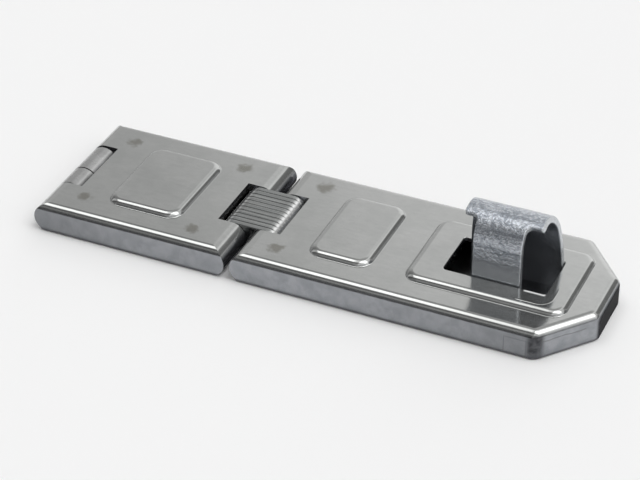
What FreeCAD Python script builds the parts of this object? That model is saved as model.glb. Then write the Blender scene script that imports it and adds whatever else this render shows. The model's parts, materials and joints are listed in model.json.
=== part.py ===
import FreeCAD, Part
import math
import operator
import os
import Sketcher

# Double-jointed hasp and staple, shut. Lengths are in millimetres and angles in degrees.
# +X runs from the hinge end to the staple end, +Z away from the door. The origin is on the door, under the middle.
# A lead is the distance from what comes before a feature along X, and a trail the distance to what follows it.

SIZES = {
    # Both pressed plates
    "plate_width": 56.0,
    "plate_height": 10.0,
    "rim_gap": 0.4,
    "sheet": 1.2,
    "edge_radius": 3.0,
    # Pins and their fits
    "link_pin_radius": 2.0,
    "pin_overhang": 0.2,
    "pin_bevel": 0.4,
    "pin_fit": 0.05,
    # Cover, the plate over the hinge
    "cover_pad_lead": 21.4,
    "cover_pad_length": 26.8,
    "cover_pad_trail": 16.7,
    "knuckle_front": 12.2,
    "knuckle_back": 11.3,
    "knuckle_gap": 0.3,
    "knuckle_clear": 4.7,
    "window_gap": 0.2,
    # Hasp, the plate over the staple
    "plain_pad_lead": 17.1,
    "plain_pad_length": 21.6,
    "pad_spacing": 11.5,
    "slot_lead": 10.8,
    "slot_length": 34.1,
    "slot_trail": 8.4,
    "far_margin": 9.6,
    "notch_gap": 0.5,
    "corner_run": 14.5,
    "corner_cut": 17.5,
    "corner_radius": 3.5,
    # Raised pads, their slopes measured from upright
    "pad_rise": 1.5,
    "pad_slope": 30.0,
    "pad_crest": 2.5,
    "pad_toe": 0.35,
    "pad_corner": 5.0,
    "pad_side_margin": 10.1,
    # Slot for the staple
    "slot_half_width": 9.5,
    "slot_corner": 1.0,
    "slot_round": 0.4,
    # Link pack
    "link_count": 11,
    "link_sheet": 2.0,
    "link_gap": 0.045,
    "link_inset": 0.2,
    "link_bevel": 0.25,
    "link_pitch": 12.0,
    "link_side_gap": 0.15,
    # Inner leaves with their pin ears
    "leaf_sheet": 1.6,
    "leaf_gap": 0.1,
    "leaf_side_gap": 1.4,
    "ear_sheet": 2.0,
    "ear_reach": 9.0,
    "hasp_leaf_length": 15.6,
    # Base under the cover
    "base_sheet": 2.45,
    "base_gap": 1.9,
    "base_side_gap": 0.6,
    "roll_end_angle": 25.0,
    "slit_place": -2.45,
    "slit_width": 0.5,
    "base_screw_start": 20.0,
    "base_screw_span": 28.0,
    "base_screw_margin": 9.2,
    # Base under the staple
    "foot_sheet": 3.0,
    "foot_length": 58.0,
    "foot_width": 38.0,
    "foot_corner": 6.0,
    "foot_screw_margin": 5.5,
    "foot_side_margin": 7.0,
    # Countersunk screw holes
    "screw_radius": 2.6,
    "screw_sink": 1.8,
    # Staple
    "staple_sheet": 2.4,
    "staple_radius": 9.0,
    "staple_arch_height": 23.5,
    "staple_lead": 3.2,
    "free_edge_height": 14.0,
    "free_edge_radius": 110.0,
    "swing_clearance": 0.2,
    "front_leg_lead": 6.1,
    "front_leg_width": 16.0,
    "lip_angle": 29.0,
    "leg_fillet": 2.0,
    "lip_corner": 1.0,
    "strap_round": 0.4,
    "front_tenon": 12.0,
    "back_tenon": 8.0,
    "back_tenon_spread": 18.0,
    "tenon_gap": 0.05,
}


class Size:
    """A length that knows both its value and its formula over the sheet's cells."""

    def __init__(self, value, text):
        self.value = value
        self.text = text

    def __add__(self, other):
        return combined(self, "+", other, operator.add)

    def __radd__(self, other):
        return combined(other, "+", self, operator.add)

    def __sub__(self, other):
        return combined(self, "-", other, operator.sub)

    def __rsub__(self, other):
        return combined(other, "-", self, operator.sub)

    def __mul__(self, other):
        return combined(self, "*", other, operator.mul)

    def __rmul__(self, other):
        return combined(other, "*", self, operator.mul)

    def __truediv__(self, other):
        return combined(self, "/", other, operator.truediv)

    def __neg__(self):
        return combined(0, "-", self, operator.sub)


def as_size(item):
    return item if isinstance(item, Size) else Size(float(item), str(float(item)))


def combined(left, sign, right, action):
    left = as_size(left)
    right = as_size(right)
    return Size(action(left.value, right.value), f"({left.text} {sign} {right.text})")


def root(size):
    return Size(math.sqrt(size.value), f"sqrt({size.text})")


def sine(angle):
    return Size(math.sin(math.radians(angle.value)), f"sin({angle.text} * 1 deg)")


def cosine(angle):
    return Size(math.cos(math.radians(angle.value)), f"cos({angle.text} * 1 deg)")


def make_sheet(document):
    sheet = document.addObject("Spreadsheet::Sheet", "Sizes")
    for row, (alias, value) in enumerate(SIZES.items(), start=1):
        sheet.set(f"A{row}", alias)
        sheet.set(f"B{row}", str(value))
        sheet.setAlias(f"B{row}", alias)
    document.recompute()
    return {alias: Size(float(value), f"Sizes.{alias}") for alias, value in SIZES.items()}


doc = FreeCAD.newDocument("hasp_and_staple")
dim = make_sheet(doc)

# Heights and widths that several pieces share
pin_height = dim["plate_height"] / 2
nose_radius = dim["plate_height"] / 2
half_width = dim["plate_width"] / 2
under_top = dim["plate_height"] - dim["sheet"]
leaf_top = under_top - dim["leaf_gap"]
ear_radius = leaf_top - pin_height
hinge_pin_radius = pin_height - dim["base_sheet"] - dim["pin_fit"]
link_radius = pin_height - dim["link_inset"]
pad_half_width = half_width - dim["pad_side_margin"]
leaf_half_width = half_width - dim["sheet"] - dim["leaf_side_gap"]
pack_width = dim["link_count"] * (dim["link_sheet"] + dim["link_gap"]) - dim["link_gap"]
window_half_width = pack_width / 2 + dim["link_side_gap"]
knuckle_notch_half = dim["knuckle_front"] + dim["knuckle_gap"]

# Places along X, from the hinge end
hinge_pin = nose_radius
cover_pad_end = dim["cover_pad_lead"] + dim["cover_pad_length"]
cover_pin = cover_pad_end + dim["cover_pad_trail"]
cover_end = cover_pin + nose_radius
hasp_pin = cover_pin + dim["link_pitch"]
hasp_start = hasp_pin - nose_radius
plain_pad_start = hasp_pin + dim["plain_pad_lead"]
plain_pad_end = plain_pad_start + dim["plain_pad_length"]
slot_pad_start = plain_pad_end + dim["pad_spacing"]
slot_start = slot_pad_start + dim["slot_lead"]
slot_end = slot_start + dim["slot_length"]
slot_pad_end = slot_end + dim["slot_trail"]
hasp_end = slot_pad_end + dim["far_margin"]
window_start = cover_pin - link_radius - dim["window_gap"]
notch_end = hasp_pin + link_radius + dim["notch_gap"]
knuckle_notch_end = hinge_pin + dim["knuckle_clear"]
base_end = window_start - dim["base_gap"]
staple_start = slot_start + dim["staple_lead"]
staple_centre = staple_start + dim["front_leg_lead"] + dim["front_leg_width"] / 2

GAP_ABOVE = 2.0   # how far a cutting outline stands clear of what it cuts


def new_body(label):
    body = doc.addObject("PartDesign::Body", label)
    body.Label = label
    return body


def sketch_on(body, name, role, offset=None):
    """A sketch on one of the body's own planes, moved along the plane's normal by offset."""
    sketch = body.newObject("Sketcher::SketchObject", f"{body.Label}_{name}")
    plane = next(item for item in body.Origin.OriginFeatures if item.Role == role)
    sketch.AttachmentSupport = (plane, "")
    sketch.MapMode = "FlatFace"
    if offset is not None:
        sketch.setExpression(".AttachmentOffset.Base.z", offset.text)
    return sketch


def bind(sketch, index, name, formula):
    sketch.renameConstraint(index, name)
    sketch.setExpression(f".Constraints.{name}", formula.text)


def hold(sketch, edge, end, name, place):
    """Ties one end of an edge to the sheet, measured from the sketch's origin."""
    for kind, axis, size in (("DistanceX", -2, as_size(place[0])), ("DistanceY", -1, as_size(place[1]))):
        if size.text == "0.0":
            sketch.addConstraint(Sketcher.Constraint("PointOnObject", edge, end, axis))
        else:
            index = sketch.addConstraint(Sketcher.Constraint(kind, -1, 1, edge, end, size.value))
            bind(sketch, index, f"{name}_{kind[-1]}", size)


def arc_between(start, end, centre, radius):
    """The shorter arc from start to end about centre, and whether it runs anticlockwise."""
    start_angle = math.atan2(start.y - centre.y, start.x - centre.x)
    end_angle = math.atan2(end.y - centre.y, end.x - centre.x)
    forward = (end_angle - start_angle) % (2 * math.pi) < math.pi
    circle = Part.Circle(centre, FreeCAD.Vector(0, 0, 1), radius)
    if forward:
        return Part.ArcOfCircle(circle, start_angle, end_angle), True
    return Part.ArcOfCircle(circle, end_angle, start_angle), False


def outline(sketch, points, arcs=None):
    """A closed loop through points. arcs gives, for an edge by its number, its centre and radius."""
    arcs = arcs or {}
    first = sketch.GeometryCount
    places = [FreeCAD.Vector(as_size(u).value, as_size(v).value, 0) for u, v in points]
    ends = []
    for number, start in enumerate(places):
        end = places[(number + 1) % len(places)]
        forward = True
        if number in arcs:
            (u, v), radius = arcs[number]
            centre = FreeCAD.Vector(as_size(u).value, as_size(v).value, 0)
            curve, forward = arc_between(start, end, centre, radius.value)
        else:
            curve = Part.LineSegment(start, end)
        sketch.addGeometry(curve, False)
        ends.append((1, 2) if forward else (2, 1))
    for number, point in enumerate(points):
        edge = first + number
        following = (number + 1) % len(points)
        sketch.addConstraint(Sketcher.Constraint(
            "Coincident", edge, ends[number][1], first + following, ends[following][0]))
        hold(sketch, edge, ends[number][0], f"p{edge}", point)
        if number in arcs:
            radius = arcs[number][1]
            index = sketch.addConstraint(Sketcher.Constraint("Radius", edge, radius.value))
            bind(sketch, index, f"radius_{edge}", radius)


def rectangle(sketch, start, end, low, high):
    outline(sketch, [(start, low), (end, low), (end, high), (start, high)])


def rounded_rectangle(sketch, start, end, half, radius):
    """A rectangle from start to end, half wide each side of the middle, with round corners."""
    near = start + radius
    far = end - radius
    side = half - radius
    outline(
        sketch,
        [(near, -half), (far, -half), (end, -side), (end, side),
         (far, half), (near, half), (start, side), (start, -side)],
        {1: ((far, -side), radius), 3: ((far, side), radius),
         5: ((near, side), radius), 7: ((near, -side), radius)})


def circle(sketch, u, v, radius):
    number = sketch.GeometryCount
    centre = FreeCAD.Vector(as_size(u).value, as_size(v).value, 0)
    sketch.addGeometry(Part.Circle(centre, FreeCAD.Vector(0, 0, 1), radius.value), False)
    hold(sketch, number, 3, f"c{number}", (u, v))
    index = sketch.addConstraint(Sketcher.Constraint("Radius", number, radius.value))
    bind(sketch, index, f"radius_{number}", radius)


def pad(body, sketch, length, sides="One side", reverse=False, taper=None):
    feature = body.newObject("PartDesign::Pad", f"{sketch.Name}_pad")
    feature.Profile = sketch
    feature.SideType = sides
    feature.Reversed = reverse
    feature.setExpression("Length", length.text)
    if taper is not None:
        feature.setExpression("TaperAngle", (-taper).text)
    doc.recompute()
    return feature


def pocket(body, sketch, length=None, sides="One side", reverse=False, taper=None):
    """Cuts away a sketch, by a length or right through, and stops if nothing was cut."""
    before = body.Tip.Shape.Volume
    feature = body.newObject("PartDesign::Pocket", f"{sketch.Name}_pocket")
    feature.Profile = sketch
    feature.SideType = sides
    feature.Reversed = reverse
    if length is None:
        feature.Type = "ThroughAll"
    else:
        feature.setExpression("Length", length.text)
    if taper is not None:
        feature.setExpression("TaperAngle", (-taper).text)
    doc.recompute()
    if feature.Shape.Volume >= before - 0.01:
        raise RuntimeError(f"{feature.Name} cuts nothing")
    return feature


def edges_where(feature, wanted):
    return [f"Edge{number}" for number, edge in enumerate(feature.Shape.Edges, start=1) if wanted(edge)]


def dress(body, kind, name, wanted, size):
    """A Fillet or Chamfer on every edge of the body's last feature that wanted accepts."""
    base = body.Tip
    feature = body.newObject(f"PartDesign::{kind}", f"{body.Label}_{name}")
    feature.Base = (base, edges_where(base, wanted))
    feature.setExpression("Radius" if kind == "Fillet" else "Size", size.text)
    doc.recompute()
    return feature


def flat_at(edge, axis, place):
    """Whether an edge lies wholly in the plane where axis, 0 for X, 1 for Y or 2 for Z, has this value."""
    box = edge.BoundBox
    low = (box.XMin, box.YMin, box.ZMin)[axis]
    high = (box.XMax, box.YMax, box.ZMax)[axis]
    return abs(low - place.value) < 0.01 and abs(high - place.value) < 0.01


def hollow(body, core):
    """Takes out the form of another body, which stands in the same frame."""
    feature = body.newObject("PartDesign::Boolean", f"{body.Label}_wall")
    feature.setObjects([core])
    feature.Type = "Cut"
    doc.recompute()
    return feature


def raised_pad(body, name, start, end):
    """A pad pressed up out of the sheet: a sloped boss above and its hollow below."""
    half = pad_half_width
    corner = dim["pad_corner"]
    top = dim["plate_height"]
    boss = sketch_on(body, f"{name}_boss", "XY_Plane", top)
    rounded_rectangle(boss, start, end, half, corner)
    pad(body, boss, dim["pad_rise"], taper=dim["pad_slope"])
    within = lambda edge: start.value - 0.1 < edge.CenterOfMass.x < end.value + 0.1
    dress(body, "Fillet", f"{name}_crest",
          lambda edge: flat_at(edge, 2, top + dim["pad_rise"]) and within(edge), dim["pad_crest"])
    dress(body, "Fillet", f"{name}_toe",
          lambda edge: flat_at(edge, 2, top) and within(edge) and abs(edge.CenterOfMass.y) < half.value + 0.1,
          dim["pad_toe"])
    inset = dim["sheet"] * (1 - sine(dim["pad_slope"])) / cosine(dim["pad_slope"])
    recess = sketch_on(body, f"{name}_recess", "XY_Plane", under_top)
    rounded_rectangle(recess, start + inset, end - inset, half - inset, corner - inset)
    pocket(body, recess, dim["pad_rise"], reverse=True, taper=dim["pad_slope"])


def round_nose(body, name, pin, hand, inset):
    """Rounds one end of a plate about its pin, the left end where hand is 1 and the right end where it is -1."""
    radius = nose_radius - inset
    slant = radius * root(as_size(0.5))
    low = pin_height - slant
    past = pin - (nose_radius + GAP_ABOVE) * hand
    above = dim["plate_height"] + GAP_ABOVE
    sketch = sketch_on(body, name, "XZ_Plane")
    outline(
        sketch,
        [(pin - (slant - low) * hand, 0), (pin - slant * hand, low), (pin - radius * hand, pin_height),
         (pin, pin_height + radius), (pin, above), (past, above), (past, 0)],
        {1: ((pin, pin_height), radius), 2: ((pin, pin_height), radius)})
    pocket(body, sketch, sides="Symmetric")


def plate_block(label, start, end, inset, bottom):
    """A plate's block from start to end, drawn in by an inset at its ends, its sides and its top."""
    body = new_body(label)
    side = half_width - inset
    plan = sketch_on(body, "plan", "XY_Plane", bottom)
    rectangle(plan, start + inset, end - inset, -side, side)
    pad(body, plan, dim["plate_height"] - inset - bottom)
    return body


def cover_form(label, inset, bottom):
    body = plate_block(label, as_size(0), cover_end, inset, bottom)
    dress(body, "Fillet", "long_edges",
          lambda edge: flat_at(edge, 2, dim["plate_height"] - inset) and edge.BoundBox.YLength < 0.01,
          dim["edge_radius"] - inset)
    round_nose(body, "hinge_nose", hinge_pin, 1, inset)
    round_nose(body, "link_nose", cover_pin, -1, inset)
    return body


def hasp_form(label, inset, bottom):
    body = plate_block(label, hasp_start, hasp_end, inset, bottom)
    run = dim["corner_run"]
    cut = dim["corner_cut"]
    slope = root(run * run + cut * cut)
    near = hasp_end - run - inset * (slope - run) / cut
    side = half_width - inset
    far_side = half_width - cut - inset * (slope - cut) / run
    corners = sketch_on(body, "corners", "XY_Plane")
    for hand in (1, -1):
        outline(corners, [
            (near, side * hand), (hasp_end - inset, far_side * hand), (hasp_end + GAP_ABOVE, far_side * hand),
            (hasp_end + GAP_ABOVE, (half_width + GAP_ABOVE) * hand), (near, (half_width + GAP_ABOVE) * hand)])
    pocket(body, corners, sides="Symmetric")
    dress(body, "Fillet", "upright_edges",
          lambda edge: edge.BoundBox.ZLength > 1 and edge.BoundBox.XLength < 0.01
          and edge.BoundBox.XMin > near.value - 0.1, dim["corner_radius"] - inset)
    dress(body, "Fillet", "top_edges",
          lambda edge: flat_at(edge, 2, dim["plate_height"] - inset)
          and edge.CenterOfMass.x > hasp_start.value + dim["sheet"].value + 0.1, dim["edge_radius"] - inset)
    round_nose(body, "link_nose", hasp_pin, 1, inset)
    return body


def make_cover_plate():
    body = cover_form("cover_plate", as_size(0), dim["rim_gap"])
    hollow(body, cover_form("cover_space", dim["sheet"], as_size(0)))
    raised_pad(body, "pad", dim["cover_pad_lead"], cover_pad_end)
    knuckle_notch = sketch_on(body, "knuckle_notch", "XY_Plane")
    rectangle(knuckle_notch, as_size(-GAP_ABOVE), knuckle_notch_end, -knuckle_notch_half, knuckle_notch_half)
    pocket(body, knuckle_notch, sides="Symmetric")
    window = sketch_on(body, "window", "XY_Plane")
    rectangle(window, window_start, cover_end + GAP_ABOVE, -window_half_width, window_half_width)
    pocket(body, window, sides="Symmetric")
    return body


def make_hasp_plate():
    body = hasp_form("hasp_plate", as_size(0), dim["rim_gap"])
    hollow(body, hasp_form("hasp_space", dim["sheet"], as_size(0)))
    raised_pad(body, "plain_pad", plain_pad_start, plain_pad_end)
    raised_pad(body, "slot_pad", slot_pad_start, slot_pad_end)
    slot = sketch_on(body, "slot", "XY_Plane")
    rounded_rectangle(slot, slot_start, slot_end, dim["slot_half_width"], dim["slot_corner"])
    pocket(body, slot, sides="Symmetric")
    dress(body, "Fillet", "slot_edge",
          lambda edge: flat_at(edge, 2, dim["plate_height"] + dim["pad_rise"])
          and abs(edge.CenterOfMass.y) < dim["slot_half_width"].value + 0.1
          and slot_start.value - 0.1 < edge.CenterOfMass.x < slot_end.value + 0.1,
          dim["slot_round"])
    notch = sketch_on(body, "notch", "XY_Plane")
    rectangle(notch, hasp_start - GAP_ABOVE, notch_end, -window_half_width, window_half_width)
    pocket(body, notch, sides="Symmetric")
    return body


def add_ear(body, name, near, points, arcs):
    """An upright ear, drawn from the side, on both hands; near is its distance from the middle."""
    for hand, word in ((1, "back"), (-1, "front")):
        sketch = sketch_on(body, f"{name}_{word}", "XZ_Plane", -near * hand)
        outline(sketch, points, arcs)
        pad(body, sketch, dim["ear_sheet"], reverse=hand > 0)


def round_ear(body, name, near, pin, reach):
    """An ear with a round eye about a pin, which joins the leaf at a distance of reach, to the left if negative."""
    hand = 1 if reach.value > 0 else -1
    low = pin_height - ear_radius
    points = [(pin, leaf_top), (pin - ear_radius * hand, pin_height), (pin, low),
              (pin + ear_radius * hand, pin_height),
              (pin + reach, leaf_top - dim["leaf_sheet"]), (pin + reach, leaf_top)]
    centre = (pin, pin_height)
    add_ear(body, name, near, points, {number: (centre, ear_radius) for number in (0, 1, 2)})


def bore_ears(body, name, pin, radius):
    sketch = sketch_on(body, name, "XZ_Plane")
    circle(sketch, pin, pin_height, radius + dim["pin_fit"])
    pocket(body, sketch, sides="Symmetric")


def make_cover_leaf():
    body = new_body("cover_leaf")
    outer = leaf_half_width
    bottom = leaf_top - dim["leaf_sheet"]
    web_end = cover_pin
    knuckle_side = knuckle_notch_half + dim["knuckle_gap"]
    pack_side = window_half_width
    web = sketch_on(body, "web", "XY_Plane", bottom)
    outline(web, [
        (hinge_pin, -outer), (web_end, -outer), (web_end, -pack_side), (window_start, -pack_side),
        (window_start, pack_side), (web_end, pack_side), (web_end, outer), (hinge_pin, outer),
        (hinge_pin, knuckle_side), (knuckle_notch_end, knuckle_side),
        (knuckle_notch_end, -knuckle_side), (hinge_pin, -knuckle_side)])
    pad(body, web, dim["leaf_sheet"])
    for name, near in (("hinge_inner", knuckle_side), ("hinge_outer", outer - dim["ear_sheet"])):
        round_ear(body, name, near, hinge_pin, dim["ear_reach"])
    bore_ears(body, "hinge_bore", hinge_pin, hinge_pin_radius)
    for name, near in (("link_inner", pack_side), ("link_outer", outer - dim["ear_sheet"])):
        round_ear(body, name, near, cover_pin, -dim["ear_reach"])
    bore_ears(body, "link_bore", cover_pin, dim["link_pin_radius"])
    return body


def make_hasp_leaf():
    body = new_body("hasp_leaf")
    outer = leaf_half_width
    pack_side = window_half_width
    web = sketch_on(body, "web", "XY_Plane", leaf_top - dim["leaf_sheet"])
    web_end = hasp_pin + dim["hasp_leaf_length"]
    outline(web, [
        (hasp_pin, -outer), (web_end, -outer), (web_end, outer), (hasp_pin, outer),
        (hasp_pin, pack_side), (notch_end, pack_side), (notch_end, -pack_side), (hasp_pin, -pack_side)])
    pad(body, web, dim["leaf_sheet"])
    for name, near in (("link_inner", pack_side), ("link_outer", outer - dim["ear_sheet"])):
        round_ear(body, name, near, hasp_pin, dim["ear_reach"])
    bore_ears(body, "link_bore", hasp_pin, dim["link_pin_radius"])
    return body


def make_pin(label, place, radius):
    body = new_body(label)
    sketch = sketch_on(body, "section", "XZ_Plane")
    circle(sketch, place, pin_height, radius)
    pad(body, sketch, (leaf_half_width + dim["pin_overhang"]) * 2, sides="Symmetric")
    dress(body, "Chamfer", "ends", lambda edge: edge.BoundBox.YLength < 0.01, dim["pin_bevel"])
    return body


def make_link_plate(number):
    """One steel lamination of the double joint, with a bore at each end."""
    body = new_body(f"link_plate_{number:02d}")
    spacing = dim["link_sheet"] + dim["link_gap"]
    place = spacing * number - spacing * (dim["link_count"] + 1) / 2
    body.setExpression(".Placement.Base.y", place.text)
    near = cover_pin
    high = pin_height + link_radius
    low = pin_height - link_radius
    sketch = sketch_on(body, "outline", "XZ_Plane")
    outline(
        sketch,
        [(near, low), (hasp_pin, low), (hasp_pin + link_radius, pin_height), (hasp_pin, high),
         (near, high), (near - link_radius, pin_height)],
        {1: ((hasp_pin, pin_height), link_radius), 2: ((hasp_pin, pin_height), link_radius),
         4: ((near, pin_height), link_radius), 5: ((near, pin_height), link_radius)})
    bore = dim["link_pin_radius"] + dim["pin_fit"]
    circle(sketch, near, pin_height, bore)
    circle(sketch, hasp_pin, pin_height, bore)
    pad(body, sketch, dim["link_sheet"], sides="Symmetric")
    dress(body, "Chamfer", "edges",
          lambda edge: edge.BoundBox.YLength < 0.01 and edge.BoundBox.ZLength + edge.BoundBox.XLength
          > link_radius.value, dim["link_bevel"])
    return body


def screw_holes(body, start, span, spread, top):
    """Four countersunk holes in a rectangle, its first column at start."""
    sketch = sketch_on(body, "screw_holes", "XY_Plane")
    for along in (start, start + span):
        for hand in (-1, 1):
            circle(sketch, along, spread / 2 * hand, dim["screw_radius"])
    pocket(body, sketch, sides="Symmetric")
    dress(body, "Chamfer", "countersinks",
          lambda edge: flat_at(edge, 2, top) and edge.Curve.TypeId == "Part::GeomCircle"
          and abs(edge.Curve.Radius - dim["screw_radius"].value) < 0.01, dim["screw_sink"])


def make_base_plate():
    """The fixed plate under the cover, its middle rolled up into two knuckles round the hinge pin."""
    body = new_body("base_plate")
    clear = knuckle_notch_end
    half = half_width - dim["sheet"] - dim["base_side_gap"]
    sheet = dim["base_sheet"]
    front = dim["knuckle_front"]
    back = dim["knuckle_back"]
    plan = sketch_on(body, "plan", "XY_Plane")
    outline(plan, [
        (hinge_pin, -front), (clear, -front), (clear, -half), (base_end, -half),
        (base_end, half), (clear, half), (clear, back), (hinge_pin, back)])
    pad(body, plan, sheet)
    inner = nose_radius - sheet
    tip_cos = cosine(dim["roll_end_angle"])
    tip_sin = sine(dim["roll_end_angle"])
    roll = sketch_on(body, "roll", "XZ_Plane", front)
    centre = (hinge_pin, pin_height)
    outline(
        roll,
        [(hinge_pin, 0), (0, pin_height), (hinge_pin, dim["plate_height"]),
         (hinge_pin + nose_radius * tip_cos, pin_height + nose_radius * tip_sin),
         (hinge_pin + inner * tip_cos, pin_height + inner * tip_sin),
         (hinge_pin, pin_height + inner), (hinge_pin - inner, pin_height), (hinge_pin, pin_height - inner)],
        {0: (centre, nose_radius), 1: (centre, nose_radius), 2: (centre, nose_radius),
         4: (centre, inner), 5: (centre, inner), 6: (centre, inner)})
    pad(body, roll, front + back, reverse=True)
    slit = sketch_on(body, "slit", "XY_Plane")
    low = dim["slit_place"] - dim["slit_width"] / 2
    rectangle(slit, as_size(-GAP_ABOVE), clear, low, low + dim["slit_width"])
    pocket(body, slit, sides="Symmetric")
    spread = (half - dim["base_screw_margin"]) * 2
    screw_holes(body, dim["base_screw_start"], dim["base_screw_span"], spread, sheet)
    return body


def tenons():
    """Each tenon of the staple's feet as its middle, its length along X and the side it stands on."""
    spread = dim["back_tenon_spread"] / 2
    return [(staple_centre, dim["front_tenon"], -1),
            (staple_centre - spread, dim["back_tenon"], 1),
            (staple_centre + spread, dim["back_tenon"], 1)]


def tenon_rectangle(sketch, tenon, gap):
    middle, length, hand = tenon
    outer = (dim["staple_radius"] + gap) * hand
    inner = (dim["staple_radius"] - dim["staple_sheet"] - gap) * hand
    rectangle(sketch, middle - length / 2 - gap, middle + length / 2 + gap, inner, outer)


def make_staple_plate():
    body = new_body("staple_plate")
    start = staple_centre - dim["foot_length"] / 2
    end = start + dim["foot_length"]
    half = dim["foot_width"] / 2
    corner = dim["foot_corner"]
    plan = sketch_on(body, "plan", "XY_Plane")
    outline(plan, [
        (start, corner - half), (start + corner, -half), (end - corner, -half), (end, corner - half),
        (end, half - corner), (end - corner, half), (start + corner, half), (start, half - corner)])
    pad(body, plan, dim["foot_sheet"])
    sockets = sketch_on(body, "sockets", "XY_Plane")
    for tenon in tenons():
        tenon_rectangle(sockets, tenon, dim["tenon_gap"])
    pocket(body, sockets, sides="Symmetric")
    margin = dim["foot_screw_margin"]
    spread = (half - dim["foot_side_margin"]) * 2
    screw_holes(body, start + margin, dim["foot_length"] - margin * 2, spread, dim["foot_sheet"])
    return body


def swing_edge(height):
    """How far along X the slot's far edge lets the staple reach at this height as the hasp lifts."""
    rise = dim["plate_height"] + dim["pad_rise"] - dim["sheet"] - pin_height
    reach = slot_end - hasp_pin
    radius = root(reach * reach + rise * rise) - dim["swing_clearance"]
    climb = height - pin_height
    return hasp_pin + root(radius * radius - climb * climb), radius


def make_staple():
    """A strap bent over in an arch: a wide back leg, a hood, and a narrow front leg."""
    body = new_body("staple")
    outer = dim["staple_radius"]
    inner = outer - dim["staple_sheet"]
    axis = dim["staple_arch_height"]
    foot = dim["foot_sheet"]
    crown = axis + outer
    centre = staple_centre
    widest, radius = swing_edge(pin_height)
    start = staple_start
    section = sketch_on(body, "section", "YZ_Plane", start)
    outline(
        section,
        [(-outer, foot), (-outer, axis), (0, crown), (outer, axis), (outer, foot),
         (inner, foot), (inner, axis), (0, axis + inner), (-inner, axis), (-inner, foot)],
        {1: ((0, axis), outer), 2: ((0, axis), outer), 6: ((0, axis), inner), 7: ((0, axis), inner)})
    pad(body, section, widest - start)
    low_edge, radius = swing_edge(as_size(0))
    high_edge, radius = swing_edge(crown + GAP_ABOVE)
    trim = sketch_on(body, "trim", "XZ_Plane")
    outline(
        trim,
        [(low_edge, 0), (high_edge, crown + GAP_ABOVE),
         (widest + GAP_ABOVE, crown + GAP_ABOVE), (widest + GAP_ABOVE, 0)],
        {0: ((hasp_pin, pin_height), radius)})
    pocket(body, trim, sides="Symmetric")
    bend = dim["free_edge_radius"]
    bend_height = dim["free_edge_height"]
    climb = crown + GAP_ABOVE - bend_height
    free_edge = sketch_on(body, "free_edge", "XZ_Plane")
    outline(
        free_edge,
        [(start, bend_height), (start + bend - root(bend * bend - climb * climb), crown + GAP_ABOVE),
         (start - GAP_ABOVE, crown + GAP_ABOVE), (start - GAP_ABOVE, bend_height)],
        {0: ((start + bend, bend_height), bend)})
    pocket(body, free_edge, sides="Symmetric")
    past = outer + GAP_ABOVE
    lip_side = -past * sine(dim["lip_angle"])
    lip_height = axis + past * cosine(dim["lip_angle"])
    for hand, word in ((1, "far"), (-1, "near")):
        place = centre + dim["front_leg_width"] / 2 * hand
        beside = sketch_on(body, f"beside_leg_{word}", "YZ_Plane", place)
        outline(beside, [(0, axis), (lip_side, lip_height), (-past, lip_height), (-past, 0), (0, 0)])
        pocket(body, beside, reverse=hand > 0)

    def depth(vertex):
        return math.hypot(vertex.Y, max(vertex.Z - axis.value, 0))

    def across_strap(edge):
        ends = [depth(vertex) for vertex in edge.Vertexes]
        return max(ends) - min(ends) > dim["staple_sheet"].value / 2

    def lip_edge(edge, nearest, furthest):
        from_leg = abs(edge.CenterOfMass.x - centre.value) - dim["front_leg_width"].value / 2
        return (across_strap(edge) and nearest < from_leg < furthest
                and edge.CenterOfMass.y < 0 and edge.CenterOfMass.z > axis.value)

    dress(body, "Fillet", "leg_corners", lambda edge: lip_edge(edge, -0.01, 0.01), dim["leg_fillet"])
    dress(body, "Fillet", "lip_corners",
          lambda edge: lip_edge(edge, dim["leg_fillet"].value + 0.01, math.inf), dim["lip_corner"])
    dress(body, "Fillet", "strap_edges",
          lambda edge: not (across_strap(edge) or flat_at(edge, 2, axis) or flat_at(edge, 2, foot)),
          dim["strap_round"])
    feet = sketch_on(body, "tenons", "XY_Plane")
    for tenon in tenons():
        tenon_rectangle(feet, tenon, as_size(0))
    pad(body, feet, foot)
    return body


def check(document):
    """Stops before anything is written if any object failed or any sub-part is not one sound solid."""
    for item in document.Objects:
        if "Invalid" in item.State or "Error" in item.State:
            raise RuntimeError(f"{item.Name} failed: {item.State}")
    for body in parts:
        shape = body.Shape
        if shape.isNull() or not shape.isValid() or len(shape.Solids) != 1:
            raise RuntimeError(f"{body.Label} is not one sound solid")


parts = [
    make_cover_plate(),
    make_cover_leaf(),
    make_hasp_plate(),
    make_hasp_leaf(),
    make_base_plate(),
    make_staple_plate(),
    make_staple(),
    make_pin("hinge_pin", hinge_pin, hinge_pin_radius),
    make_pin("cover_link_pin", cover_pin, dim["link_pin_radius"]),
    make_pin("hasp_link_pin", hasp_pin, dim["link_pin_radius"]),
]
parts += [make_link_plate(number) for number in range(1, int(SIZES["link_count"]) + 1)]
for body in parts:
    body.setExpression(".Placement.Base.x", (-hasp_end / 2).text)

doc.recompute()
check(doc)
os.makedirs("parts", exist_ok=True)
for body in parts:
    body.Shape.exportStep(f"parts/{body.Label}.step")
    print(body.Label, round(body.Shape.Volume, 1))
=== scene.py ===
import json
import math

import bpy
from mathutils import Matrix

# A long hasp of pressed steel plates, shut over its staple, on a pale studio floor. Lengths are in metres.

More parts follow.
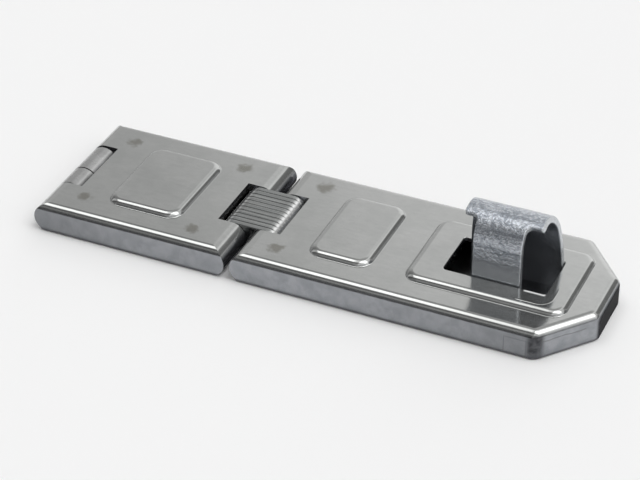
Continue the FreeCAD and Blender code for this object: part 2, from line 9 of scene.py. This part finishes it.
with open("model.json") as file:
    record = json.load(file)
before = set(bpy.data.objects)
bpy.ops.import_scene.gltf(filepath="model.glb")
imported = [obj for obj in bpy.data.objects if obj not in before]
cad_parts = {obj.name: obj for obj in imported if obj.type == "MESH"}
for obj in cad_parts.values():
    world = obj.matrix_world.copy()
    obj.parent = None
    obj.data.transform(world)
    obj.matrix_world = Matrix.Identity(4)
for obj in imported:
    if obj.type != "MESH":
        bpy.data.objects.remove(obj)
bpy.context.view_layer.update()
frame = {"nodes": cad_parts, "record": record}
nodes = frame["nodes"]
scene = bpy.context.scene


# Node trees

def new_material(name):
    material = bpy.data.materials.new(name)
    material.use_nodes = True
    tree = material.node_tree
    tree.nodes.clear()
    output = tree.nodes.new("ShaderNodeOutputMaterial")
    shader = tree.nodes.new("ShaderNodeBsdfPrincipled")
    tree.links.new(shader.outputs[0], output.inputs[0])
    return material, tree, shader


def feed(tree, socket, value):
    """Gives a socket a value, a colour of three numbers or another node's output."""
    if isinstance(value, bpy.types.NodeSocket):
        tree.links.new(value, socket)
    elif isinstance(value, tuple) and len(value) < len(socket.default_value):
        socket.default_value = (*value, 1)
    else:
        socket.default_value = value


def math_node(tree, operation, first, second=0.0, clamp=False):
    node = tree.nodes.new("ShaderNodeMath")
    node.operation = operation
    node.use_clamp = clamp
    feed(tree, node.inputs[0], first)
    feed(tree, node.inputs[1], second)
    return node.outputs[0]


def vector_node(tree, operation, first, second):
    node = tree.nodes.new("ShaderNodeVectorMath")
    node.operation = operation
    feed(tree, node.inputs[0], first)
    feed(tree, node.inputs[1], second)
    return node


def added(tree, first, second):
    return math_node(tree, "ADD", first, second)


def less(tree, first, second):
    return math_node(tree, "SUBTRACT", first, second)


def product(tree, first, *others):
    for other in others:
        first = math_node(tree, "MULTIPLY", first, other)
    return first


def largest(tree, first, second):
    return math_node(tree, "MAXIMUM", first, second)


def size_of(tree, value):
    return math_node(tree, "ABSOLUTE", value)


def spread(tree, value, low, high, to_low=0.0, to_high=1.0):
    """A smooth step from to_low to to_high as the value goes from low to high."""
    node = tree.nodes.new("ShaderNodeMapRange")
    node.interpolation_type = "SMOOTHSTEP"
    for socket, item in zip(node.inputs[:5], (value, low, high, to_low, to_high)):
        feed(tree, socket, item)
    return node.outputs[0]


def between(tree, value, start, full, fading, end):
    """1 from full to fading, with soft ends at start and end."""
    return product(tree, spread(tree, value, start, full), spread(tree, value, end, fading))


def line_mask(tree, distance, width):
    """1 on a line and 0 past its half width, by the distance from the line."""
    return spread(tree, size_of(tree, distance), 0.0, width, 1.0, 0.0)


def levels(tree, value, stops):
    """A smooth curve through stops, each a value and its level."""
    low = stops[0][0]
    high = stops[-1][0]
    peak = max(level for place, level in stops)
    share = math_node(tree, "DIVIDE", less(tree, value, low), high - low, clamp=True)
    node = tree.nodes.new("ShaderNodeValToRGB")
    tree.links.new(share, node.inputs[0])
    node.color_ramp.interpolation = "EASE"
    elements = node.color_ramp.elements
    while len(elements) < len(stops):
        elements.new(0.5)
    for element, (place, level) in zip(elements, stops):
        element.position = (place - low) / (high - low)
        element.color = (level / peak, level / peak, level / peak, 1)
    return product(tree, node.outputs[0], peak)


def scaled(tree, vector, scale):
    node = tree.nodes.new("ShaderNodeMapping")
    tree.links.new(vector, node.inputs["Vector"])
    node.inputs["Scale"].default_value = scale
    return node.outputs[0]


def noise(tree, vector, scale, detail=3.0, rough=0.5, distortion=0.0):
    node = tree.nodes.new("ShaderNodeTexNoise")
    tree.links.new(vector, node.inputs["Vector"])
    node.inputs["Scale"].default_value = scale
    node.inputs["Detail"].default_value = detail
    node.inputs["Roughness"].default_value = rough
    node.inputs["Distortion"].default_value = distortion
    return node.outputs["Fac"]


def mix(tree, factor, first, second):
    node = tree.nodes.new("ShaderNodeMix")
    node.data_type = "RGBA"
    feed(tree, node.inputs["Factor"], factor)
    feed(tree, node.inputs["A"], first)
    feed(tree, node.inputs["B"], second)
    return node.outputs["Result"]


def laid_over(tree, tone, colour, mask, share=1.0):
    """A tone with a colour over it, as strong as the mask and the share say."""
    return mix(tree, product(tree, mask, share), tone, colour)


def bump(tree, height, distance, under=None):
    node = tree.nodes.new("ShaderNodeBump")
    node.inputs["Strength"].default_value = 1.0
    node.inputs["Distance"].default_value = distance
    tree.links.new(height, node.inputs["Height"])
    if under is not None:
        tree.links.new(under, node.inputs["Normal"])
    return node.outputs[0]


def object_place(tree):
    return tree.nodes.new("ShaderNodeTexCoord").outputs["Object"]


def object_normal(tree):
    return tree.nodes.new("ShaderNodeTexCoord").outputs["Normal"]


def axis_of(tree, vector, axis):
    node = tree.nodes.new("ShaderNodeSeparateXYZ")
    tree.links.new(vector, node.inputs[0])
    return node.outputs[axis]


def axes_of(tree, vector, names="xyz"):
    return [axis_of(tree, vector, "xyz".index(name)) for name in names]


def facing(tree, axis, low, high):
    """0 to 1 as the surface turns from low to high along one axis of its own normal."""
    return spread(tree, axis_of(tree, object_normal(tree), axis), low, high)


# Marks on the pressed plates, and a painted highlight

# Each weld mark as its place in millimetres from the hinge end and from the middle, and its size
WELDS = ((13.3, 18.4, 1.0), (13.8, -17.6, 1.05), (54.9, 19.1, 1.15), (54.6, -19.9, 1.0),
         (84.6, 19.1, 1.25), (84.2, -18.6, 1.1))
HALF_LENGTH_MM = 95.0
PLATE_TOP = 0.010

# How much painted shade darkens the long walls, by the place along them; darker towards their ends
WALL_PAINTED_SHADE = ((-0.095, 0.50), (-0.05, 0.14), (-0.005, 0.0), (0.045, 0.14), (0.079, 0.46), (0.084, 0.0),
             (0.095, 0.0))


def weld_marks(tree, place):
    """Faint burnt patches where the plates are spot-welded to the leaves inside."""
    full, gone = 0.0010, 0.0031
    wander = product(tree, less(tree, noise(tree, place, 420.0, 3.0, 0.6), 0.5), 0.0050)
    marks = None
    for x, y, size in WELDS:
        middle = ((x - HALF_LENGTH_MM) / 1000, y / 1000, PLATE_TOP)
        distance = vector_node(tree, "DISTANCE", place, middle).outputs["Value"]
        mark = spread(tree, added(tree, distance, wander), full * size, gone * size, 1.0, 0.0)
        marks = mark if marks is None else largest(tree, marks, mark)
    return marks


def past(tree, value, middle, reach):
    """How far a value lies past a reach to either side of a middle."""
    return less(tree, size_of(tree, less(tree, value, middle)), reach)


def wall_frame(tree, place):
    """The outline of a small oblong pressed in the near wall beside the far corner."""
    x, y, z = axes_of(tree, place)
    along = past(tree, x, 0.0739, 0.0036)
    upward = past(tree, z, 0.0036, 0.0029)
    near_wall = spread(tree, y, -0.0270, -0.0276)
    return product(tree, line_mask(tree, largest(tree, along, upward), 0.00022), near_wall)


def wall_fold(tree, place):
    """The wavy edge left in the slanting walls, where the blank is folded over itself."""
    x, z = axes_of(tree, place, "xz")
    sway = product(tree, noise(tree, scaled(tree, place, (160.0, 160.0, 0.0)), 1.0, 1.0), 0.0022)
    fold = line_mask(tree, less(tree, z, added(tree, sway, 0.0052)), 0.00035)
    return product(tree, fold, between(tree, x, 0.0812, 0.0822, 0.0915, 0.0925))


def slot_corner_ridge(tree, place):
    """The faint ridge drawn up in the pad around the near far corner of the slot."""
    far_side, near_side, corner = 0.0800, 0.0150, 0.0045
    x, y = axes_of(tree, place, "xy")
    over_x = largest(tree, less(tree, x, far_side - corner), 0.0)
    over_y = largest(tree, less(tree, product(tree, y, -1.0), near_side - corner), 0.0)
    squares = added(tree, math_node(tree, "POWER", over_x, 2.0), math_node(tree, "POWER", over_y, 2.0))
    ridge = line_mask(tree, less(tree, math_node(tree, "SQRT", squares), corner), 0.00045)
    return product(tree, ridge, spread(tree, x, 0.0675, 0.0700), spread(tree, y, -0.004, -0.011))


def slot_edge_painted_highlight(tree, place):
    """A painted highlight: a near-white line along part of the slot's near edge."""
    x, y = axes_of(tree, place, "xy")
    painted_edge_highlight = line_mask(tree, added(tree, y, 0.0099), 0.0011)
    return product(tree, painted_edge_highlight, between(tree, x, 0.0695, 0.0705, 0.0765, 0.0775))


# Materials

def plate_steel():
    top_dark, top_light = (0.412, 0.420, 0.412), (0.457, 0.463, 0.455)
    side_dark, side_light = (0.287, 0.300, 0.320), (0.372, 0.384, 0.405)
    painted_wall_shade, corner_shade, rim_shade = (0.13, 0.135, 0.14), (0.03, 0.03, 0.035), (0.10, 0.10, 0.11)
    end_shade, end_shade_tint = (0.07, 0.07, 0.075), (0.08, 0.08, 0.09)
    scratch, burnt = (0.30, 0.30, 0.30), (0.155, 0.145, 0.115)
    groove, highlight_white = (0.11, 0.11, 0.115), (0.92, 0.93, 0.93)
    material, tree, shader = new_material("plate_steel")
    place = object_place(tree)
    x, z = axes_of(tree, place, "xz")
    upright = facing(tree, 2, 0.75, 0.25)
    far_end = facing(tree, 0, 0.80, 0.98)
    cloud = noise(tree, place, 70.0, 4.0, 0.6)
    grain = noise(tree, scaled(tree, place, (260.0, 900.0, 900.0)), 1.0, 4.0, 0.65)
    mottle = noise(tree, place, 240.0, 4.0, 0.6)
    marks = weld_marks(tree, place)
    painted_edge_highlight = slot_edge_painted_highlight(tree, place)

    top_tone = mix(tree, spread(tree, cloud, 0.3, 0.7), top_dark, top_light)
    # Painted shade: the walls get darker tones than the top of the same steel.
    side_tone = mix(tree, spread(tree, mottle, 0.3, 0.7), side_dark, side_light)
    # Painted shade: the walls darken towards their ends.
    side_tone = mix(tree, levels(tree, x, WALL_PAINTED_SHADE), side_tone, painted_wall_shade)
    tone = mix(tree, upright, top_tone, side_tone)
    # Painted shade: a ragged dark band down the bend between the near wall and the slanting wall.
    bend = product(tree, between(tree, x, 0.0768, 0.0790, 0.0815, 0.0830),
                   spread(tree, mottle, 0.35, 0.6, 0.65, 0.97))
    tone = laid_over(tree, tone, corner_shade, bend, upright)
    # Painted shade: the far end wall is darkened here, and its reflection is tinted dark by the Specular
    # Tint below.
    tone = laid_over(tree, tone, end_shade, far_end, 0.75)
    tone = laid_over(tree, tone, scratch, spread(tree, grain, 0.35, 0.75), 0.16)
    # Painted shade along the foot of the walls, where they meet the floor.
    rim = product(tree, spread(tree, z, 0.0006, 0.0014, 1.0, 0.0), upright)
    tone = laid_over(tree, tone, rim_shade, rim, 0.75)
    tone = laid_over(tree, tone, burnt, marks, 0.60)
    lines = largest(tree, wall_frame(tree, place), wall_fold(tree, place))
    tone = laid_over(tree, tone, groove, product(tree, lines, upright), 0.6)
    # Painted highlight along the slot's near edge: near-white and not metallic.
    feed(tree, shader.inputs["Base Color"], laid_over(tree, tone, highlight_white, painted_edge_highlight))
    feed(tree, shader.inputs["Specular Tint"], mix(tree, far_end, (1, 1, 1), end_shade_tint))
    feed(tree, shader.inputs["Metallic"], spread(tree, painted_edge_highlight, 0.0, 1.0, 0.86, 0.0))

    rough = added(tree, spread(tree, cloud, 0.25, 0.75, 0.09, 0.14), product(tree, upright, 0.06))
    feed(tree, shader.inputs["Roughness"], added(tree, rough, product(tree, marks, 0.14)))
    relief = bump(tree, slot_corner_ridge(tree, place), 0.00012, bump(tree, cloud, 0.00004))
    feed(tree, shader.inputs["Normal"], bump(tree, grain, 0.0000012, relief))
    return material


def link_steel():
    dark, light = (0.22, 0.23, 0.228), (0.40, 0.41, 0.405)
    stain, end_highlight_tone = (0.27, 0.27, 0.26), (0.66, 0.665, 0.66)
    material, tree, shader = new_material("link_steel")
    place = object_place(tree)
    lines = noise(tree, scaled(tree, place, (26.0, 1900.0, 1900.0)), 1.0, 3.0, 0.65)
    cloud = noise(tree, place, 180.0, 3.0, 0.5)
    tone = mix(tree, spread(tree, lines, 0.3, 0.7), dark, light)
    tone = mix(tree, spread(tree, cloud, 0.35, 0.8, 0.0, 0.35), tone, stain)
    # Painted highlight: the rounded ends of the links, facing along the length, are made brighter.
    end_highlight = spread(tree, size_of(tree, axis_of(tree, object_normal(tree), 0)), 0.15, 0.42)
    feed(tree, shader.inputs["Base Color"], mix(tree, end_highlight, tone, end_highlight_tone))
    shader.inputs["Metallic"].default_value = 1.0
    shader.inputs["Anisotropic"].default_value = 0.7
    normal = tree.nodes.new("ShaderNodeNewGeometry").outputs["Normal"]
    across = vector_node(tree, "CROSS_PRODUCT", normal, (1.0, 0.0, 0.0)).outputs[0]
    feed(tree, shader.inputs["Tangent"], across)
    feed(tree, shader.inputs["Roughness"], spread(tree, lines, 0.2, 0.8, 0.17, 0.26))
    feed(tree, shader.inputs["Normal"], bump(tree, lines, 0.000010))
    return material


def inside_arch(tree, place):
    """1 on the faces of the staple that look at each other across its opening."""
    outward = product(tree, axis_of(tree, place, 1), axis_of(tree, object_normal(tree), 1))
    return spread(tree, outward, -0.001, -0.004)


def zinc_coat():
    dark, light, streak_and_band_tone = (0.31, 0.335, 0.37), (0.49, 0.515, 0.55), (0.17, 0.19, 0.22)
    foot_painted_reflection, edge_painted_highlight, inner_shade = (0.80, 0.83, 0.87), (0.72, 0.74, 0.76), (0.10, 0.11, 0.13)
    material, tree, shader = new_material("zinc_coat")
    place = object_place(tree)
    height = axis_of(tree, place, 2)
    cells = tree.nodes.new("ShaderNodeTexVoronoi")
    tree.links.new(place, cells.inputs["Vector"])
    cells.inputs["Scale"].default_value = 1500.0
    flake = axis_of(tree, cells.outputs["Color"], 0)
    cloud = noise(tree, place, 260.0, 4.0, 0.65, 0.4)
    blotch = added(tree, product(tree, flake, 0.45), product(tree, cloud, 0.55))
    streaks = noise(tree, scaled(tree, place, (30.0, 300.0, 620.0)), 1.0, 3.0, 0.6)

    tone = mix(tree, spread(tree, blotch, 0.34, 0.62), dark, light)
    # Dark streaks in the coat, partly painted reflection: stronger towards the top of the arch, where they
    # copy dark reflected bands.
    streak_and_band_mask = spread(tree, streaks, 0.50, 0.60, 0.0, 0.55)
    tone = laid_over(tree, tone, streak_and_band_tone, streak_and_band_mask, spread(tree, height, 0.013, 0.020, 0.35, 1.0))
    # Painted reflection: the staple is made brighter towards its foot.
    tone = laid_over(tree, tone, foot_painted_reflection, spread(tree, height, 0.011, 0.022, 0.65, 0.0))
    # Painted highlight on the faces turned towards the far end of the hasp.
    tone = laid_over(tree, tone, edge_painted_highlight, facing(tree, 0, 0.15, 0.6), 0.5)
    # Painted shade on the inner faces of the arch.
    tone = laid_over(tree, tone, inner_shade, inside_arch(tree, place), 0.6)
    feed(tree, shader.inputs["Base Color"], tone)
    shader.inputs["Metallic"].default_value = 0.78
    feed(tree, shader.inputs["Roughness"], spread(tree, blotch, 0.2, 0.8, 0.12, 0.06))
    grit = noise(tree, place, 1050.0, 3.0, 0.7)
    depth = spread(tree, height, 0.014, 0.023, 0.30, 1.0)
    feed(tree, shader.inputs["Normal"], bump(tree, product(tree, grit, depth), 0.00030))
    return material


def plain_steel(name, dark, light, rough_low, rough_high):
    material, tree, shader = new_material(name)
    place = object_place(tree)
    cloud = noise(tree, place, 90.0, 4.0, 0.6)
    grain = noise(tree, scaled(tree, place, (400.0, 60.0, 400.0)), 1.0, 3.0, 0.6)
    feed(tree, shader.inputs["Base Color"], mix(tree, spread(tree, cloud, 0.3, 0.7), dark, light))
    shader.inputs["Metallic"].default_value = 1.0
    feed(tree, shader.inputs["Roughness"], spread(tree, cloud, 0.3, 0.7, rough_low, rough_high))
    feed(tree, shader.inputs["Normal"], bump(tree, grain, 0.000008))
    return material


finishes = {
    "plate_steel": plate_steel(),
    "link_steel": link_steel(),
    "zinc_coat": zinc_coat(),
    "inner_steel": plain_steel("inner_steel", (0.36, 0.362, 0.36), (0.46, 0.462, 0.46), 0.20, 0.30),
    "pin_steel": plain_steel("pin_steel", (0.30, 0.30, 0.31), (0.42, 0.42, 0.43), 0.24, 0.34),
}
for part in frame["record"]["subparts"]:
    piece = nodes[part["node"]]
    piece.data.materials.clear()
    piece.data.materials.append(finishes[part["material_slot"]])


# Floor

def pale_floor():
    """A wide floor, a hair under the part so that the two never share a plane."""
    reach = 8.0
    level = -0.00005
    tone = 0.90
    mesh = bpy.data.meshes.new("floor")
    corners = [(x * reach, y * reach, level) for x, y in ((-1, -1), (1, -1), (1, 1), (-1, 1))]
    mesh.from_pydata(corners, [], [(0, 1, 2, 3)])
    floor = bpy.data.objects.new("floor", mesh)
    scene.collection.objects.link(floor)
    material = bpy.data.materials.new("pale_floor")
    material.use_nodes = True
    tree = material.node_tree
    tree.nodes.clear()
    output = tree.nodes.new("ShaderNodeOutputMaterial")
    diffuse = tree.nodes.new("ShaderNodeBsdfDiffuse")
    diffuse.inputs[0].default_value = (tone, tone, tone, 1)
    tree.links.new(diffuse.outputs[0], output.inputs[0])
    mesh.materials.append(material)


# Light

# The room as the steel mirrors it: its strength by the angle in degrees from the back horizon over the top
# to the front horizon, times its strength from left to right
ROOM = ((0.0, 1.10), (27.0, 1.14), (35.0, 1.06), (40.0, 0.88), (47.0, 0.52), (58.0, 0.42), (100.0, 0.30),
        (116.0, 0.13), (124.0, 0.16), (131.0, 0.44), (141.0, 0.38), (150.0, 0.09), (180.0, 0.08))
ROOM_SIDES = ((-1.0, 0.42), (-0.85, 0.48), (-0.62, 0.70), (-0.44, 0.78), (-0.36, 0.98), (-0.3, 1.20),
              (-0.2, 1.42), (0.05, 1.45), (0.2, 1.50), (0.28, 1.45), (0.39, 0.22), (0.53, 0.18),
              (0.61, 0.16), (0.67, 0.70), (0.74, 0.16), (1.0, 0.12))
# The long soft light overhead
LAMP = ((68.0, 0.0), (77.0, 2.9), (99.0, 2.9), (109.0, 0.0))
LAMP_SIDES = ((-1.0, 0.35), (-0.75, 0.25), (-0.62, 0.14), (-0.5, 0.90), (-0.44, 1.0), (-0.31, 1.10),
              (-0.2, 0.50), (0.05, 0.32), (0.18, 1.20), (0.66, 1.10), (0.82, 0.25), (1.0, 0.15))
# The broad light to the right
SIDE_LAMP = ((34.0, 0.0), (54.0, 1.1), (130.0, 1.1), (150.0, 0.0))
SIDE_LAMP_SIDES = ((0.1, 0.0), (0.28, 1.0), (0.9, 1.0), (1.0, 0.6))
# The front of the room, which is dark only where the photograph was taken from
FRONT = ((138.0, 0.0), (156.0, 0.45), (180.0, 0.45))
FRONT_SIDES = ((-1.0, 1.0), (-0.66, 1.0), (-0.52, 0.0), (-0.14, 0.0), (0.02, 1.0), (1.0, 1.0))
LIGHTS = ((ROOM, ROOM_SIDES), (LAMP, LAMP_SIDES), (SIDE_LAMP, SIDE_LAMP_SIDES), (FRONT, FRONT_SIDES))


def studio_world():
    world = bpy.data.worlds.new("studio")
    scene.world = world
    world.use_nodes = True
    tree = world.node_tree
    tree.nodes.clear()
    output = tree.nodes.new("ShaderNodeOutputWorld")
    background = tree.nodes.new("ShaderNodeBackground")
    tree.links.new(background.outputs[0], output.inputs[0])
    right, back, up = axes_of(tree, tree.nodes.new("ShaderNodeTexCoord").outputs["Generated"])
    angle = math_node(tree, "DEGREES", math_node(tree, "ARCTAN2", up, back))
    light = 0.0
    for heights, sides in LIGHTS:
        part = product(tree, levels(tree, angle, heights), levels(tree, right, sides))
        light = added(tree, part, light)
    tree.links.new(light, background.inputs["Strength"])


# Camera

# The place, the turn in degrees and the focal length in pixels that put the part where the photograph has it
CAMERA_PLACE = (0.23695, -0.52438, 0.40946)
CAMERA_TURN = (54.8411, 0.3999, 24.3824)
FOCAL_PIXELS = 2159.13
IMAGE_WIDTH = 640.0
SENSOR_WIDTH = 36.0


def photo_camera():
    data = bpy.data.cameras.new("camera")
    data.sensor_width = SENSOR_WIDTH
    data.lens = FOCAL_PIXELS * SENSOR_WIDTH / IMAGE_WIDTH
    data.clip_end = 20.0
    camera = bpy.data.objects.new("camera", data)
    camera.location = CAMERA_PLACE
    camera.rotation_euler = [math.radians(angle) for angle in CAMERA_TURN]
    scene.collection.objects.link(camera)
    scene.camera = camera


pale_floor()
studio_world()
photo_camera()
scene.view_settings.view_transform = "Standard"
